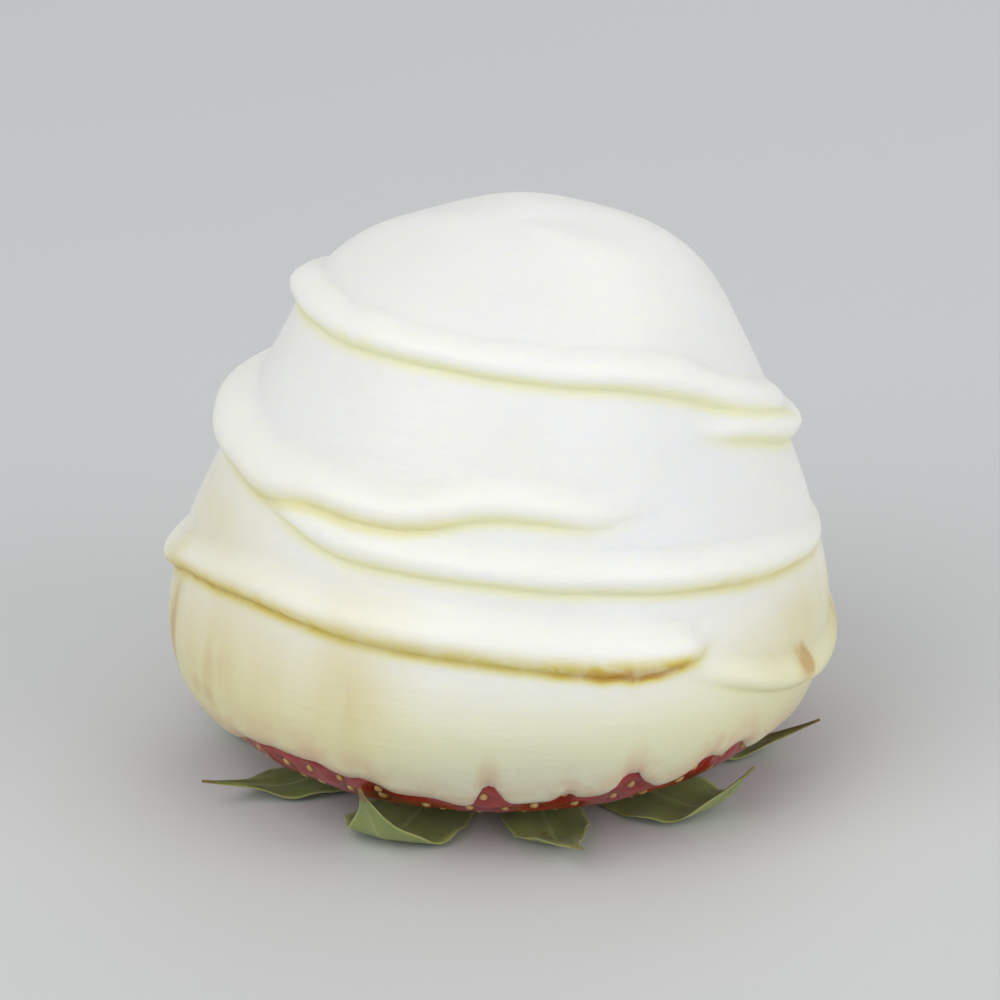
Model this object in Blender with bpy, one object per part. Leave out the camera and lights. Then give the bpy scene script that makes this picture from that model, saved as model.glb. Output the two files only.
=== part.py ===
"""White chocolate coated strawberry, standing tip up on its own leaves.

Three pieces: the coat, a shell of white chocolate with drizzled strands in relief and
open underneath; the fruit, which fills the coat and shows red below its rim; and the
calyx, a star of sepals that the berry stands on. Dimensions are in millimetres and
become metres in the meshes. Azimuth 0 is the front (-Y), and it grows towards +X.
"""
import math

import bmesh
import bpy
import numpy as np
from mathutils.kdtree import KDTree

MM = 0.001

# Outline of the coat without its strands: three Bezier curves through the tip, the
# dome's edge, the widest level and the foot, with the lengths of their handles
HEIGHT = 46.5
TIP_HANDLE = 12.4
DOME_RADIUS = 17.9
DOME_LEVEL = 38.5
DOME_SLOPE = math.radians(26)
DOME_HANDLE = 4.7
RADIUS = 27.5
WIDEST_LEVEL = 12.5
WIDEST_HANDLE_UP = 7.0
WIDEST_HANDLE_DOWN = 8.0
FOOT_RADIUS = 12.0
FOOT_LEVEL = 1.0
FOOT_HANDLE = 9.0
LEAN = 1.4
LEAN_FROM = 20.0

# Coat
WALL = 2.0
RIM_WALL = 0.9
RIM_TAPER = 14.0
RIM_ARC = 55.2
RIM_ROUNDING = 0.4
RIM_WAVES = ((3, 0.6, 1.0), (5, 2.1, 0.8), (8, 4.0, 0.5))
LUMPS = ((2, 0.06, 0.8, 0.30), (3, 0.11, 2.6, 0.22), (5, 0.17, 4.4, 0.12))
SMOOTH_TIP = 12.0
SMOOTH_RIM = 3.0
REACH_LEVEL = 1.45
REACH_CHANGE = 0.48
ROUND_BELOW = 0.28
SOFT_ABOVE = 0.6
GAP = 0.35

# Fruit
HOLLOW_RADIUS = 9.0
HOLLOW_DEPTH = 1.7

# Calyx: each sepal's reach along the leaf and the angle in degrees that it curls up by,
# going counter-clockwise from the first, which is right of the front
SEPALS = (
    (29.0, 22),
    (30.5, 50),
    (28.0, 30),
    (31.0, 54),
    (29.5, 16),
    (29.0, 44),
    (30.0, 24),
    (30.5, 52),
    (28.5, 18),
    (31.5, 58),
)
FIRST_SEPAL = math.radians(12)
NOTCH_RADIUS = 9.0
SEPAL_TAPER = 0.42
LEAF_THICKNESS = 0.85
LEAF_EDGE = 0.45
BOSS_RADIUS = 7.0
BOSS_HEIGHT = 1.1
BEND_FROM = 20.0
BEND_RADIUS = 6.0

# Mesh fineness
SIDES = 48
OUTER_RINGS = 52
INNER_RINGS = 12
FOOT_RINGS = 6
HOLLOW_RINGS = 3
STEPS_PER_SEPAL = 6
LEAF_RINGS = 7
LEAF_SPREAD = 0.8
STRAND_STEP = 2.0
RING_SPREAD = 0.75  # under 1, rings lie closer together lower down, where the strands are
RING_TILT = 3.0  # rings are lowest where the strands are, and so run along them
RING_LOWEST = math.radians(125)

# Drizzled strands, each laid counter-clockwise as seen from above. A point gives the
# crest's azimuth in degrees, its height, the half width and how far it stands proud.
STRANDS = {
    "crown": (
        (-190, 36.4, 1.1, 0.7),
        (-145, 36.6, 1.15, 0.8),
        (-118, 38.9, 1.1, 1.1),
        (-98, 40.2, 1.15, 1.4),
        (-70, 40.8, 1.1, 1.4),
        (-45, 40.7, 1.15, 1.2),
        (-10, 40.4, 1.2, 1.1),
        (10, 39.7, 1.2, 1.1),
        (30, 38.75, 1.2, 1.15),
        (48, 36.85, 1.2, 1.2),
        (65, 34.1, 1.2, 1.3),
        (98, 29.5, 1.2, 1.0),
    ),
    "shoulder": (
        (46, 34.0, 0.9, 0.5),
        (63, 32.0, 1.1, 1.0),
        (87, 28.6, 1.2, 1.5),
        (125, 26.7, 1.4, 1.4),
        (180, 26.6, 1.5, 1.4),
        (225, 28.0, 1.9, 1.5),
        (264, 29.7, 2.3, 2.25),
        (291, 29.3, 2.05, 1.7),
        (305, 29.0, 1.75, 1.5),
        (318, 29.4, 1.45, 1.25),
        (338, 29.05, 1.4, 1.2),
        (354, 30.25, 1.3, 1.1),
        (368, 29.9, 1.3, 1.1),
        (379, 29.2, 1.2, 1.0),
        (391, 29.9, 0.9, 0.6),
    ),
    "waist": (
        (-58, 27.9, 0.8, 0.35),
        (-48, 27.5, 0.95, 0.8),
        (-31, 26.4, 1.25, 1.1),
        (-12, 25.9, 1.25, 1.1),
        (10, 24.9, 1.3, 1.15),
        (45, 22.9, 1.3, 1.25),
        (70, 21.0, 1.05, 0.8),
        (87, 19.6, 0.8, 0.4),
        (130, 17.6, 1.3, 0.9),
        (180, 17.4, 1.4, 1.2),
        (228, 19.0, 1.1, 0.8),
    ),
    "belly": (
        (33, 16.6, 0.8, 0.5),
        (42, 15.0, 1.0, 0.9),
        (53, 13.0, 1.1, 1.0),
        (75, 10.7, 1.15, 0.9),
        (100, 10.7, 1.2, 0.95),
        (130, 11.7, 1.45, 1.3),
        (185, 14.0, 1.5, 1.4),
        (245, 15.8, 1.3, 1.15),
        (270, 17.1, 1.1, 1.2),
        (284, 19.4, 1.15, 1.15),
        (302, 20.95, 1.3, 1.2),
        (338, 20.65, 1.5, 1.25),
        (365, 19.7, 1.6, 1.35),
        (385, 18.5, 1.6, 1.4),
        (392, 18.1, 1.5, 1.35),
        (396, 18.2, 1.2, 1.1),
        (399, 19.0, 0.9, 0.9),
    ),
}
# Degrees over which each strand rises at its start and runs out at its end
STRAND_FADES = {"crown": (20, 16), "shoulder": (18, 26), "waist": (14, 24), "belly": (16, 5)}
LEAST_PROUD = 0.12


def bezier(start, start_handle, end_handle, end, count=60):
    """Points of one cubic Bezier curve."""
    t = np.linspace(0.0, 1.0, count)[:, None]
    points = np.array([start, start_handle, end_handle, end], float)
    weights = ((1 - t) ** 3, 3 * (1 - t) ** 2 * t, 3 * (1 - t) * t * t, t ** 3)
    return sum(weight * point for weight, point in zip(weights, points))


def outline():
    """Coat's outline from the tip to the foot: arc length, points and outward normals."""
    slope = np.array([math.sin(DOME_SLOPE), -math.cos(DOME_SLOPE)])
    dome = np.array([DOME_RADIUS, DOME_LEVEL])
    tip = np.array([0.0, HEIGHT])
    widest = np.array([RADIUS, WIDEST_LEVEL])
    foot = np.array([FOOT_RADIUS, FOOT_LEVEL])
    across = np.array([1.0, 0.0])
    up = np.array([0.0, 1.0])
    points = np.concatenate([
        bezier(tip, tip + across * TIP_HANDLE, dome - slope * DOME_HANDLE, dome),
        bezier(dome, dome + slope * DOME_HANDLE, widest + up * WIDEST_HANDLE_UP, widest)[1:],
        bezier(widest, widest - up * WIDEST_HANDLE_DOWN, foot + across * FOOT_HANDLE, foot)[1:],
    ])
    arc = np.concatenate([[0.0], np.cumsum(np.linalg.norm(np.diff(points, axis=0), axis=1))])
    tangent = np.gradient(points, axis=0)
    tangent /= np.linalg.norm(tangent, axis=1)[:, None]
    normals = np.column_stack([-tangent[:, 1], tangent[:, 0]])
    return arc, points, normals


ARC, POINTS, NORMALS = outline()


def lean(level):
    """Sideways shift of the axis, growing towards the tip."""
    return LEAN * np.clip((level - LEAN_FROM) / (HEIGHT - LEAN_FROM), 0.0, 1.0)


def skin(arc, azimuth, offset=0.0):
    """Point of the smooth body at an arc length and azimuth, moved out by an offset."""
    radius = np.interp(arc, ARC, POINTS[:, 0]) + offset * np.interp(arc, ARC, NORMALS[:, 0])
    level = np.interp(arc, ARC, POINTS[:, 1]) + offset * np.interp(arc, ARC, NORMALS[:, 1])
    x = radius * np.sin(azimuth) + lean(level)
    y = -radius * np.cos(azimuth)
    return np.stack([x, y, level], axis=-1)


def smooth(value):
    """Smooth step from 0 to 1."""
    t = np.clip(value, 0.0, 1.0)
    return t * t * (3.0 - 2.0 * t)


def smooth_route(name):
    """Smooth curve through a strand's points, read at even steps of azimuth."""
    table = np.array(STRANDS[name], float)
    azimuth = table[:, 0]
    slopes = np.gradient(table[:, 1:], azimuth, axis=0)
    steps = np.arange(azimuth[0], azimuth[-1] + STRAND_STEP, STRAND_STEP)
    span = np.clip(np.searchsorted(azimuth, steps, side="right") - 1, 0, len(azimuth) - 2)
    length = (azimuth[span + 1] - azimuth[span])[:, None]
    t = np.clip((steps - azimuth[span])[:, None] / length, 0.0, 1.0)
    start, end = table[span, 1:], table[span + 1, 1:]
    values = (
        start * (2 * t ** 3 - 3 * t ** 2 + 1)
        + end * (3 * t ** 2 - 2 * t ** 3)
        + length * slopes[span] * (t ** 3 - 2 * t ** 2 + t)
        + length * slopes[span + 1] * (t ** 3 - t ** 2)
    )
    rise, fall = STRAND_FADES[name]
    ends = smooth((steps - azimuth[0]) / rise) * smooth((azimuth[-1] - steps) / fall)
    values[:, 2] *= LEAST_PROUD + (1.0 - LEAST_PROUD) * ends
    return np.radians(steps), values


def strand_relief(points):
    """Height of the drizzled strands at points of the smooth body.

    A strand is steep on its lower side, where it has sagged, and runs out softly above:
    its reach changes with the side of the crest. Strands that touch are fused.
    """
    total = np.zeros(points.shape[:-1])
    for name in STRANDS:
        azimuth, values = smooth_route(name)
        level, half_width, proud = values.T
        arc = np.interp(-level, -POINTS[:, 1], ARC)
        crest = skin(arc, azimuth)
        away = points[..., None, :] - crest
        distance = np.linalg.norm(away, axis=-1) + 1e-6
        below = np.clip(-away[..., 2] / distance, -1.0, 1.0)
        reach = half_width * (REACH_LEVEL - REACH_CHANGE * below)
        inside = np.clip(1.0 - (distance / reach) ** 2, 0.0, 1.0)
        power = 1.0 - np.where(below > 0.0, ROUND_BELOW, SOFT_ABOVE) * below
        bump = (proud * inside ** power).max(axis=-1)
        total += bump ** 4
    return total ** 0.25


def lumps(arc, azimuth):
    """Hand-dipped unevenness of the coat, fading out at the tip and the rim."""
    total = np.zeros(np.broadcast(arc, azimuth).shape)
    for turns, along, phase, size in LUMPS:
        total += size * np.sin(turns * azimuth + phase) * np.cos(along * arc + phase)
    fade = np.clip(arc / SMOOTH_TIP, 0.0, 1.0) * np.clip((RIM_ARC - arc) / SMOOTH_RIM, 0.0, 1.0)
    return total * fade


def rim_arc(azimuth):
    """Arc length at which the coat ends: its lower edge is uneven."""
    return RIM_ARC + sum(size * np.sin(n * azimuth + phase) for n, phase, size in RIM_WAVES)


def wall(arc, azimuth):
    """Coat's thickness: even over the body and thin near the rim."""
    return RIM_WALL + (WALL - RIM_WALL) * smooth((rim_arc(azimuth) - arc) / RIM_TAPER)


def inner_arcs(azimuth):
    """Arc lengths of the rings shared by the coat's inside and the fruit, tip first."""
    steps = np.linspace(0.0, 1.0, INNER_RINGS + 1)[:, None]
    return steps * (rim_arc(azimuth) - RIM_ROUNDING)


def sphere_mesh(sides, rings, place):
    """Closed body made from a sphere: place holds each ring's points, top pole first."""
    bm = bmesh.new()
    bmesh.ops.create_uvsphere(bm, u_segments=sides, v_segments=rings, radius=1.0)
    for vert in bm.verts:
        ring = round(math.acos(max(-1.0, min(1.0, vert.co.z))) / math.pi * rings)
        side = round(math.atan2(vert.co.x, -vert.co.y) / math.tau * sides) % sides
        if math.hypot(vert.co.x, vert.co.y) < 1e-4:
            side = 0
        vert.co = [float(value) * MM for value in place[ring, side]]
    return bm


def cut_quads(bm, middles):
    """Cut each quad along the diagonal that passes closer to the middle of its surface.

    The cuts then run along a strand's crest and not across it.
    """
    tree = KDTree(len(middles))
    for number, point in enumerate(middles):
        tree.insert(point * MM, number)
    tree.balance()
    for face in [face for face in bm.faces if len(face.verts) == 4]:
        middle = tree.find(face.calc_center_median())[0]
        diagonals = (face.verts[0], face.verts[2]), (face.verts[1], face.verts[3])
        start, end = min(diagonals, key=lambda ends: ((ends[0].co + ends[1].co) / 2 - middle).length)
        bmesh.utils.face_split(face, start, end)


def add_object(name, bm, material):
    bmesh.ops.triangulate(bm, faces=bm.faces, quad_method="SHORT_EDGE")
    mesh = bpy.data.meshes.new(name)
    bm.to_mesh(mesh)
    bm.free()
    mesh.materials.append(material)
    mesh.shade_smooth()
    mesh.set_sharp_from_angle(angle=math.radians(60))
    obj = bpy.data.objects.new(name, mesh)
    COLLECTION.objects.link(obj)
    return obj


def add_material(name, color, roughness, subsurface=0.0):
    material = bpy.data.materials.new(name)
    material.use_nodes = True
    shader = material.node_tree.nodes["Principled BSDF"]
    shader.inputs["Base Color"].default_value = (*color, 1.0)
    shader.inputs["Roughness"].default_value = roughness
    shader.inputs["Metallic"].default_value = 0.0
    shader.inputs["Subsurface Weight"].default_value = subsurface
    return material


def even_azimuths(sides):
    return np.arange(sides) * math.tau / sides


def coat_surface(steps, azimuth):
    """Outer surface of the coat at steps from the tip, 0, to the rim, 1."""
    tilt = RING_TILT * np.cos(azimuth - RING_LOWEST) * np.sin(math.pi * steps)
    arcs = steps * rim_arc(azimuth) + tilt
    return skin(arcs, azimuth, lumps(arcs, azimuth) + strand_relief(skin(arcs, azimuth)))


def make_coat():
    """Shell of white chocolate: outer surface, rounded rim, then the inside up to its top."""
    azimuth = even_azimuths(SIDES)
    rim = rim_arc(azimuth)
    rings = np.arange(OUTER_RINGS)[:, None] / (OUTER_RINGS - 1)
    outer = coat_surface(rings ** RING_SPREAD, azimuth)
    outer[0] = skin(0.0, 0.0)
    rings = (rings[:-1] + rings[1:]) / 2
    middles = coat_surface(rings ** RING_SPREAD, azimuth + math.pi / SIDES)

    edge = skin(rim + RIM_ROUNDING, azimuth, -0.5 * RIM_WALL)[None]
    arcs = inner_arcs(azimuth)[::-1]
    inner = skin(arcs, azimuth, -wall(arcs, azimuth))
    inner[-1] = skin(0.0, 0.0, -WALL)

    place = np.concatenate([outer, edge, inner])
    bm = sphere_mesh(SIDES, len(place) - 1, place)
    cut_quads(bm, middles.reshape(-1, 3))
    return add_object("coat", bm, add_material("white_chocolate", (0.86, 0.82, 0.68), 0.45, 0.3))


def make_fruit():
    """Strawberry: fills the coat, and below the rim turns in to a hollow over the stem."""
    azimuth = even_azimuths(SIDES)
    arcs = inner_arcs(azimuth)
    upper = skin(arcs, azimuth, -wall(arcs, azimuth) - GAP)
    upper[0] = skin(0.0, 0.0, -WALL - GAP)

    steps = np.linspace(0.0, 1.0, FOOT_RINGS + 1)[1:, None]
    start = arcs[-1]
    depth = wall(start, azimuth) * (1 - steps) + GAP
    foot = skin(start + steps * (ARC[-1] - start), azimuth, -depth)

    steps = np.linspace(1.0, 0.0, HOLLOW_RINGS + 1)[1:, None]
    radius = FOOT_RADIUS * steps * np.ones(SIDES)
    level = foot[-1, :, 2] + HOLLOW_DEPTH * np.clip(1 - (radius / HOLLOW_RADIUS) ** 2, 0.0, 1.0)
    hollow = np.stack([radius * np.sin(azimuth), -radius * np.cos(azimuth), level], axis=-1)

    place = np.concatenate([upper, foot, hollow])
    material = add_material("strawberry_flesh", (0.35, 0.012, 0.008), 0.3, 0.2)
    return add_object("fruit", sphere_mesh(SIDES, len(place) - 1, place), material)


def sepal_shape(azimuth):
    """Reach of the star's edge and bend of its leaf at each azimuth."""
    turn = (azimuth - FIRST_SEPAL) / math.tau * len(SEPALS) + 0.5
    number = np.floor(turn).astype(int) % len(SEPALS)
    aside = np.abs(2.0 * (turn % 1.0) - 1.0)
    reach, bend = np.array(SEPALS)[number].T
    edge = NOTCH_RADIUS + (reach - NOTCH_RADIUS) * (1.0 - aside) ** SEPAL_TAPER
    return edge, np.radians(bend)


def leaf_point(run, azimuth, bend, height):
    """Point of a leaf that lies flat, then curls up on an arc and goes on straight."""
    past = np.clip(run - BEND_FROM, 0.0, None)
    angle = np.minimum(past / BEND_RADIUS, bend)
    straight = past - angle * BEND_RADIUS
    radius = np.minimum(run, BEND_FROM) + BEND_RADIUS * np.sin(angle) + straight * np.cos(angle)
    level = BEND_RADIUS * (1 - np.cos(angle)) + straight * np.sin(angle)
    radius = radius - height * np.sin(angle)
    level = level + height * np.cos(angle)
    return np.stack([radius * np.sin(azimuth), -radius * np.cos(azimuth), level], axis=-1)


def make_calyx():
    """Star of sepals round the flush stem, flat underneath, with tips that curl up."""
    azimuth = even_azimuths(len(SEPALS) * STEPS_PER_SEPAL) + FIRST_SEPAL
    edge, bend = sepal_shape(azimuth)
    steps = np.linspace(0.0, 1.0, LEAF_RINGS + 1)[:, None] ** LEAF_SPREAD
    run = steps * edge
    boss = BOSS_HEIGHT * np.clip(1 - (run / BOSS_RADIUS) ** 2, 0.0, 1.0)
    thickness = LEAF_THICKNESS + (LEAF_EDGE - LEAF_THICKNESS) * steps ** 2
    upper = leaf_point(run, azimuth, bend, thickness + boss)
    lower = leaf_point(run, azimuth, bend, 0.0 * run)[::-1]
    material = add_material("leaf", (0.14, 0.2, 0.045), 0.55)
    place = np.concatenate([upper, lower])
    return add_object("calyx", sphere_mesh(len(azimuth), len(place) - 1, place), material)


for old in list(bpy.data.objects):
    bpy.data.objects.remove(old, do_unlink=True)

COLLECTION = bpy.data.collections.new("coated_strawberry")
bpy.context.scene.collection.children.link(COLLECTION)

make_coat()
make_fruit()
make_calyx()
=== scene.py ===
"""Looks of the white chocolate coated strawberry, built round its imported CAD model.

The coat, the fruit, its seeds, the sepals and the cut stem replace the plain CAD solids.
Lengths are in millimetres and become metres in the meshes. Azimuth 0 is the front (-Y),
and it grows towards +X. Every row of a mesh runs once round the berry.
"""
import math

import bpy
import numpy as np
from mathutils import Matrix, Vector
from mathutils.kdtree import KDTree


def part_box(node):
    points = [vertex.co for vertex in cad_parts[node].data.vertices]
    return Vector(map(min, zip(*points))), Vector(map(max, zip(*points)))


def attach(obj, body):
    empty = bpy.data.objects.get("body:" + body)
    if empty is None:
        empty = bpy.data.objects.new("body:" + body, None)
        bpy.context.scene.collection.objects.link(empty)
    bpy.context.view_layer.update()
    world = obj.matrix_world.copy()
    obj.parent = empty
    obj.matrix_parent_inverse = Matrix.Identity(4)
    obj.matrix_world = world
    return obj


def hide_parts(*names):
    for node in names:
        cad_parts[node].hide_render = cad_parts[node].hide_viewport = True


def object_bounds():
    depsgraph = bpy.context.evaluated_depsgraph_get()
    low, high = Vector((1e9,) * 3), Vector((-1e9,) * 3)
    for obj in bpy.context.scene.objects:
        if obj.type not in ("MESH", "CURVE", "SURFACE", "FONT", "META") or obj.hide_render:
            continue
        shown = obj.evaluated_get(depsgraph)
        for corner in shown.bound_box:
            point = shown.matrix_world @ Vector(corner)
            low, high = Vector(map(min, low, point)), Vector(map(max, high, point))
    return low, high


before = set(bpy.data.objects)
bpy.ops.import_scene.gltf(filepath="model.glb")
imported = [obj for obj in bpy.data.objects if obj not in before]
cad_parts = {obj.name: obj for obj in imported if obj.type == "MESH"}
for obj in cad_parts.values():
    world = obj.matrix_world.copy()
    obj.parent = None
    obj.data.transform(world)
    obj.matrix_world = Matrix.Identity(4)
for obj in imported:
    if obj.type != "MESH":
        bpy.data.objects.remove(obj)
CAD_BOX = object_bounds()

MM = 0.001
HEIGHT = CAD_BOX[1][2] / MM
FOOT_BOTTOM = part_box("fruit")[0][2] / MM

# Outline of the coat without its strands, as in the CAD model: three Bezier curves
# through the tip, the dome's edge, the widest level and the foot
TIP_HANDLE = 12.4
DOME_RADIUS = 17.9
DOME_LEVEL = 38.5
DOME_SLOPE = math.radians(26)
DOME_HANDLE = 4.7
RADIUS = 27.5
WIDEST_LEVEL = 12.5
WIDEST_HANDLE_UP = 7.0
WIDEST_HANDLE_DOWN = 8.0
FOOT_RADIUS = 12.0
FOOT_LEVEL = 1.0
FOOT_HANDLE = 9.0
LEAN = 1.4
LEAN_FROM = 20.0
# Lumps of the hand-dipped coat: turns round the berry, waves along it, phase and size
LUMPS = ((2, 0.06, 0.8, 0.30), (3, 0.11, 2.6, 0.22), (5, 0.17, 4.4, 0.12))
SMOOTH_TIP = 12.0
SMOOTH_RIM = 3.0

# Coat: its wall, and its rim with waves, scallops (turns, phase, size) and small pockets
WALL = 2.0
RIM_WALL = 0.55
RIM_TAPER = 12.0
RIM_ARC = 55.2
RIM_LEAST = 53.2
RIM_EDGE = 1.4
RIM_SINK = 0.3
RIM_WAVES = ((3, 0.6, 1.0), (5, 2.1, 0.8), (8, 4.0, 0.5))
RIM_SCALLOPS = ((13, 1.1, 0.32), (19, 3.7, 0.26), (29, 5.2, 0.18), (43, 0.4, 0.10))
RIM_POCKETS = 22
POCKET_WIDTHS = (0.03, 0.075)
POCKET_DEPTHS = (0.5, 1.7)
BOND = 0.03

# A strand's section: it reaches further above its crest than below it, is rounder below
# and softer above, and sags over its lower edge
REACH_LEVEL = 1.45
REACH_CHANGE = 0.48
ROUND_BELOW = 0.28
SOFT_ABOVE = 0.6
OVERHANG = 0.10
NEARBY = 5.0
# Painted shade under a strand, a pale yellow crease line and a golden shade: the part of the
# way down its lower side where they set in and the part over which they rise, how far below it
# they keep up, and their fade. LOWER_SIDE is how sharply the crease shade keeps to the lower side.
LOWER_SIDE = 1.6
CREASE_FROM = 0.42
CREASE_RISE = 0.5
CREASE_BELOW = 0.30
CREASE_FADE = 0.45
GOLD_SHADE_FROM = -0.10
GOLD_SHADE_RISE = 1.05
GOLD_SHADE_BELOW = 0.15
GOLD_SHADE_FADE = 0.45
# Wobble along a strand: waves in a third of a turn and their size, and what it moves
WAVINESS = ((0.5, 0.30), (1.3, 0.45), (2.9, 0.30), (5.3, 0.18))
THIRDS = 3.0
LEVEL_WAVE = 0.16
WIDTH_WAVE = 0.10
PROUD_WAVE = 0.12

# Places where the coat is thin and the berry tints it, darkened further by painted shade: azimuth,
# level, half sizes, strength
THIN_AND_SHADED_PLACES = (
    (-72, 23.5, 22, 3.8, 0.60),
    (-58, 13.0, 33, 8.5, 0.90),
    (-79, 13.0, 9, 9.5, 1.10),
    (-62, 10.5, 14, 3.5, 1.00),
    (-27, 14.0, 11, 8.0, 0.86),
    (62, 9.0, 26, 4.5, 0.60),
    (66, 15.5, 22, 4.0, 0.75),
    (63, 13.0, 5.5, 2.6, 1.30),
    (90, 12.0, 14, 5.5, 1.00),
    (150, 9.0, 30, 4.0, 0.60),
    (215, 10.0, 26, 4.5, 0.70),
)

# Fruit: under the coat it keeps a gap that fades out towards the rim
HIDDEN_GAP = 0.15
HIDDEN_TO = 50.0
HIDDEN_FADE = 6.0
FOOT_WALL = 0.35
HOLLOW_RADIUS = 9.0
HOLLOW_DEPTH = 1.7
SEED_PITCH = 3.1
SEED_LENGTH = 1.05
SEED_WIDTH = 0.72
SEED_HEIGHT = 0.42
SEED_FROM = 53.0
SEED_TO = 67.0
SEED_ROW_PITCH = 0.86
SEED_JITTER = 0.22
SEED_LIFT = 0.05
DIMPLE_RADIUS = 0.95
DIMPLE_DEPTH = 0.28
RIBS = 9
RIB_DEPTH = 0.10
PALE_FROM = 60.0

# Calyx: each sepal's reach along the leaf and the angle in degrees that it curls up by,
# as in the CAD model, going counter-clockwise from the first, which is right of the front
SEPALS = (
    (29.0, 22),
    (30.5, 50),
    (28.0, 30),
    (31.0, 54),
    (29.5, 16),
    (29.0, 44),
    (30.0, 24),
    (30.5, 52),
    (28.5, 18),
    (31.5, 58),
)
FIRST_SEPAL = math.radians(12)
BEND_FROM = 20.0
BEND_RADIUS = 6.0
SEPAL_START = 2.2
BROAD_SEPAL = 4.9
SLIM_SEPAL = 3.5
BROAD_LAYER = 0.09
SLIM_LAYER = 0.50
SEPAL_THICKNESS = 0.36
SEPAL_EDGE = 0.10
SEPAL_FREE_FROM = 14.0
SAW = 0.18
RIPPLE = 0.34
KEEL_HEIGHT = 0.22
KEEL_WIDTH = 0.35
SIDE_VEIN_HEIGHT = 0.05

# Stem: its outline over the top and round the cut foot, as parts of the radius and levels
STEM_RADIUS = 2.9
STEM_HEIGHT = 1.75
STEM_TOP = ((0.0, STEM_HEIGHT), (0.55, STEM_HEIGHT), (0.95, STEM_HEIGHT - 0.12),
            (1.0, STEM_HEIGHT - 0.4))
STEM_FOOT = ((0.93, 0.42), (0.92, 0.22), (0.86, 0.10), (0.7, 0.07), (0.5, 0.12), (0.3, 0.06),
             (0.0, 0.09))
STEM_CUT_LEVEL = 0.2
STEM_ROUGH = 0.03

# Mesh fineness
COLUMNS = 360
PROFILE_STEPS = 620
MAIN_ARC = 52.2
MAIN_RINGS = 196
BAND_RINGS = 16
EDGE_RINGS = 6
INNER_RINGS = 40
ROUTE_STEP = 0.25
FRUIT_COLUMNS = 300
HIDDEN_ROWS = 24
SEEN_ROWS = 96
SEEN_FROM = 48.0
HOLLOW_ROWS = 30
SEPAL_ROWS = 46
SEPAL_COLUMNS = 18

# Drizzled strands, as in the CAD model but for the belly strand's last three points, which
# draw its end out finer. They are laid counter-clockwise as seen from above. A point gives
# the crest's azimuth in degrees, its height, the half width and how far it stands proud.
STRANDS = {
    "crown": (
        (-190, 36.4, 1.1, 0.7),
        (-145, 36.6, 1.15, 0.8),
        (-118, 38.9, 1.1, 1.1),
        (-98, 40.2, 1.15, 1.4),
        (-70, 40.8, 1.1, 1.4),
        (-45, 40.7, 1.15, 1.2),
        (-10, 40.4, 1.2, 1.1),
        (10, 39.7, 1.2, 1.1),
        (30, 38.75, 1.2, 1.15),
        (48, 36.85, 1.2, 1.2),
        (65, 34.1, 1.2, 1.3),
        (98, 29.5, 1.2, 1.0),
    ),
    "shoulder": (
        (46, 34.0, 0.9, 0.5),
        (63, 32.0, 1.1, 1.0),
        (87, 28.6, 1.2, 1.5),
        (125, 26.7, 1.4, 1.4),
        (180, 26.6, 1.5, 1.4),
        (225, 28.0, 1.9, 1.5),
        (264, 29.7, 2.3, 2.25),
        (291, 29.3, 2.05, 1.7),
        (305, 29.0, 1.75, 1.5),
        (318, 29.4, 1.45, 1.25),
        (338, 29.05, 1.4, 1.2),
        (354, 30.25, 1.3, 1.1),
        (368, 29.9, 1.3, 1.1),
        (379, 29.2, 1.2, 1.0),
        (391, 29.9, 0.9, 0.6),
    ),
    "waist": (
        (-58, 27.9, 0.8, 0.35),
        (-48, 27.5, 0.95, 0.8),
        (-31, 26.4, 1.25, 1.1),
        (-12, 25.9, 1.25, 1.1),
        (10, 24.9, 1.3, 1.15),
        (45, 22.9, 1.3, 1.25),
        (70, 21.0, 1.05, 0.8),
        (87, 19.6, 0.8, 0.4),
        (130, 17.6, 1.3, 0.9),
        (180, 17.4, 1.4, 1.2),
        (228, 19.0, 1.1, 0.8),
    ),
    "belly": (
        (33, 16.6, 0.8, 0.5),
        (42, 15.0, 1.0, 0.9),
        (53, 13.0, 1.1, 1.0),
        (75, 10.7, 1.15, 0.9),
        (100, 10.7, 1.2, 0.95),
        (130, 11.7, 1.45, 1.3),
        (185, 14.0, 1.5, 1.4),
        (245, 15.8, 1.3, 1.15),
        (270, 17.1, 1.1, 1.2),
        (284, 19.4, 1.15, 1.15),
        (302, 20.95, 1.3, 1.2),
        (338, 20.65, 1.5, 1.25),
        (365, 19.7, 1.6, 1.35),
        (385, 18.5, 1.6, 1.4),
        (391, 18.2, 1.45, 1.35),
        (396, 18.3, 1.05, 1.1),
        (399, 18.7, 0.75, 0.9),
    ),
}
# Degrees over which each strand rises at its start and runs out at its end
STRAND_FADES = {"crown": (20, 16), "shoulder": (18, 26), "waist": (14, 24), "belly": (16, 5)}
LEAST_PROUD = 0.12
# Golden painted shade under a strand, deepest shade of its crease: where it sets in, over how
# many degrees it rises, where it ends, over how many degrees it fades, and its strength. The painted
# shades of one strand add up.
GOLD_SHADES = {
    "belly": ((265, 15, 400, 9, 0.50), (268, 12, 345, 40, 0.20), (360, 26, 398, 9, 0.50)),
    "shoulder": ((286, 16, 362, 30, 0.17),),
    "waist": ((22, 30, 95, 20, 0.24),),
}
# Small drips along the lower edge of one strand: where they start, their waves and size
DRIPPING_STRAND = "belly"
DRIPS_FROM = 370
DRIPS_RISE = 6.0
DRIP_WAVES = (0.38, 0.67, 1.13)
DRIP_SIZE = 0.05

random = np.random.default_rng(23)


def smooth(value):
    """Smooth step from 0 to 1."""
    t = np.clip(value, 0.0, 1.0)
    return t * t * (3.0 - 2.0 * t)


def unit(vectors):
    return vectors / np.maximum(np.linalg.norm(vectors, axis=-1, keepdims=True), 1e-9)


# ---------------------------------------------------------------- body of the berry

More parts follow.
